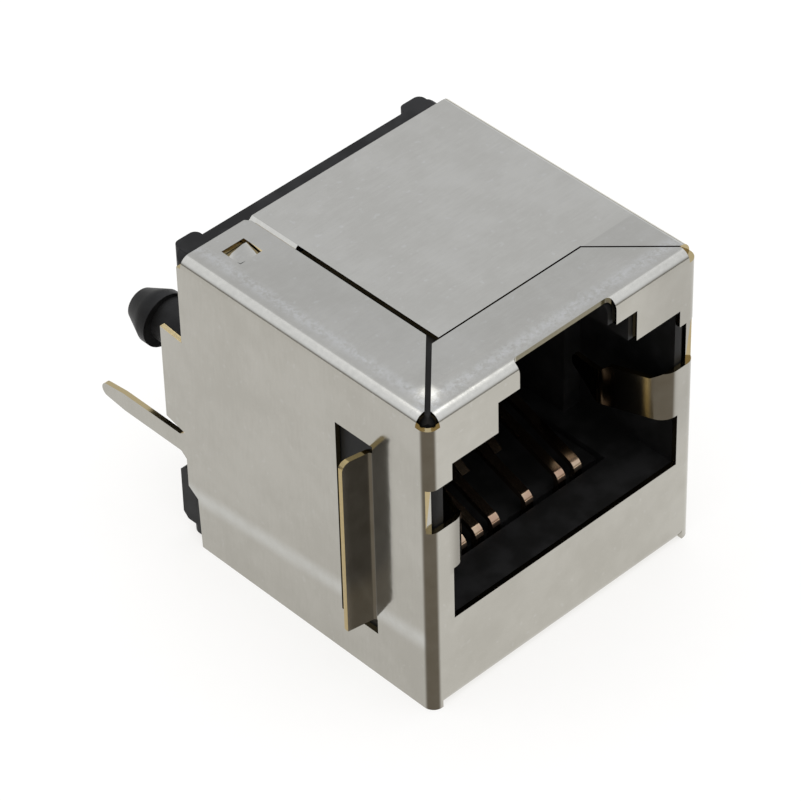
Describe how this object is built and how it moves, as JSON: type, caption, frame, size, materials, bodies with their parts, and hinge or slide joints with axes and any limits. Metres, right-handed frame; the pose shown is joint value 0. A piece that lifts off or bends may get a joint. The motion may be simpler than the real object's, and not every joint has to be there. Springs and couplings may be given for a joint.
{
  "type": "rj45 board jack",
  "caption": "Vertical shielded modular jack with stepped plug opening, ground springs, side panel tabs, locating pegs and through-hole solder tails.",
  "frame": {"origin": "on the board's face, midway between the two locating pegs", "axes": "-Y out of the plug opening, +Y into the board, +Z towards the opening's latch side, +X to the right of the opening"},
  "size_m": [0.019, 0.0212, 0.0167],
  "materials": {
    "shield": "bright nickel-tin plated folded sheet with brass-coloured cut edges",
    "housing": "moulded black thermoplastic",
    "contact_carrier": "moulded black thermoplastic",
    "contacts": "gold-plated spring strip"
  },
  "bodies": {
    "root": {"shield": "shield", "housing": "housing", "contact_carrier": "contact_carrier", "contact_1": "contacts", "contact_2": "contacts", "contact_3": "contacts", "contact_4": "contacts", "contact_5": "contacts", "contact_6": "contacts", "contact_7": "contacts", "contact_8": "contacts"}
  },
  "joints": []
}
